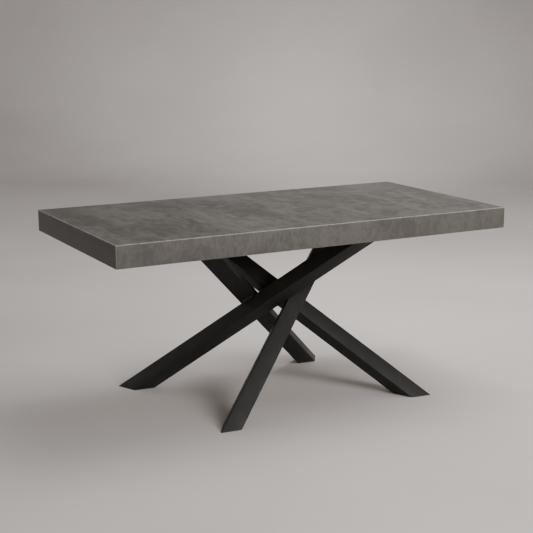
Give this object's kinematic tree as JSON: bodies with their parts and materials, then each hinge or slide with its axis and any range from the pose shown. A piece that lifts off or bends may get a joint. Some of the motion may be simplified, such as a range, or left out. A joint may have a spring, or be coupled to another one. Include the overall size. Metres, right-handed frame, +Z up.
{
  "type": "extendable dining table",
  "caption": "Extendable dining table: boxed cement-effect top on crossed black steel legs, with end panels and leaves that draw out on ball slides.",
  "frame": {"origin": "on the floor, under the middle of the closed top", "axes": "+X along the table's length to the right, -Y to the front, +Z up"},
  "size_m": [1.7, 0.85, 0.775],
  "materials": {
    "cement_board": "board with a matt cement-effect facing, soft grey mottling with fine streaks",
    "frame_wood": "bare plywood and pine, sanded",
    "black_steel": "black powder coat, satin",
    "zinc_steel": "bright zinc plate",
    "black_rubber": "matt moulded",
    "grey_felt": "pressed felt"
  },
  "bodies": {
    "table": {"main_top": "cement_board", "front_apron": "cement_board", "back_apron": "cement_board", "glue_blocks": "frame_wood", "left_base_board": "frame_wood", "right_base_board": "frame_wood", "left_riser": "frame_wood", "right_riser": "frame_wood", "front_spine": "frame_wood", "back_spine": "frame_wood", "board_screws": "zinc_steel", "top_screws": "zinc_steel", "back_left_leg": "black_steel", "front_left_leg": "black_steel", "front_right_leg": "black_steel", "back_right_leg": "black_steel", "back_left_foot_cap": "black_rubber", "front_left_foot_cap": "black_rubber", "front_right_foot_cap": "black_rubber", "back_right_foot_cap": "black_rubber", "back_left_leg_plate": "black_steel", "front_left_leg_plate": "black_steel", "front_right_leg_plate": "black_steel", "back_right_leg_plate": "black_steel", "leg_welds": "black_steel", "leg_bolts": "zinc_steel", "board_inserts": "zinc_steel", "left_front_slide_outer": "zinc_steel", "left_back_slide_outer": "zinc_steel", "right_front_slide_outer": "zinc_steel", "right_back_slide_outer": "zinc_steel", "slide_screws": "zinc_steel", "left_slide_buffers": "black_rubber", "right_slide_buffers": "black_rubber"},
    "left_end": {"left_end_panel": "cement_board", "left_leaf": "cement_board", "left_front_slide_inner": "zinc_steel", "left_back_slide_inner": "zinc_steel", "left_outer_tie": "black_steel", "left_inner_tie": "black_steel", "left_leaf_pads": "grey_felt", "left_end_brackets": "black_steel", "left_bracket_screws": "zinc_steel"},
    "left_slide_middles": {"left_front_slide_middle": "zinc_steel", "left_back_slide_middle": "zinc_steel"},
    "left_outer_cages": {"left_outer_ball_cages": "zinc_steel"},
    "left_inner_cages": {"left_inner_ball_cages": "zinc_steel"},
    "right_end": {"right_end_panel": "cement_board", "right_leaf": "cement_board", "right_front_slide_inner": "zinc_steel", "right_back_slide_inner": "zinc_steel", "right_outer_tie": "black_steel", "right_inner_tie": "black_steel", "right_leaf_pads": "grey_felt", "right_end_brackets": "black_steel", "right_bracket_screws": "zinc_steel"},
    "right_slide_middles": {"right_front_slide_middle": "zinc_steel", "right_back_slide_middle": "zinc_steel"},
    "right_outer_cages": {"right_outer_ball_cages": "zinc_steel"},
    "right_inner_cages": {"right_inner_ball_cages": "zinc_steel"}
  },
  "joints": [
    {"name": "left_draw", "type": "slide", "parent": "table", "child": "left_end", "axis": [-1, 0, 0], "range_m": [0, 0.45]},
    {"name": "left_middle_draw", "type": "slide", "parent": "table", "child": "left_slide_middles", "axis": [-1, 0, 0], "range_m": [0, 0.225]},
    {"name": "left_outer_cage_roll", "type": "slide", "parent": "table", "child": "left_outer_cages", "axis": [-1, 0, 0], "range_m": [0, 0.1125]},
    {"name": "left_inner_cage_roll", "type": "slide", "parent": "table", "child": "left_inner_cages", "axis": [-1, 0, 0], "range_m": [0, 0.3375]},
    {"name": "right_draw", "type": "slide", "parent": "table", "child": "right_end", "axis": [1, 0, 0], "range_m": [0, 0.45]},
    {"name": "right_middle_draw", "type": "slide", "parent": "table", "child": "right_slide_middles", "axis": [1, 0, 0], "range_m": [0, 0.225]},
    {"name": "right_outer_cage_roll", "type": "slide", "parent": "table", "child": "right_outer_cages", "axis": [1, 0, 0], "range_m": [0, 0.1125]},
    {"name": "right_inner_cage_roll", "type": "slide", "parent": "table", "child": "right_inner_cages", "axis": [1, 0, 0], "range_m": [0, 0.3375]}
  ],
  "couplings": [
    {"joint": "left_middle_draw", "follows": "left_draw", "ratio": 0.5},
    {"joint": "left_outer_cage_roll", "follows": "left_draw", "ratio": 0.25},
    {"joint": "left_inner_cage_roll", "follows": "left_draw", "ratio": 0.75},
    {"joint": "right_middle_draw", "follows": "right_draw", "ratio": 0.5},
    {"joint": "right_outer_cage_roll", "follows": "right_draw", "ratio": 0.25},
    {"joint": "right_inner_cage_roll", "follows": "right_draw", "ratio": 0.75}
  ]
}
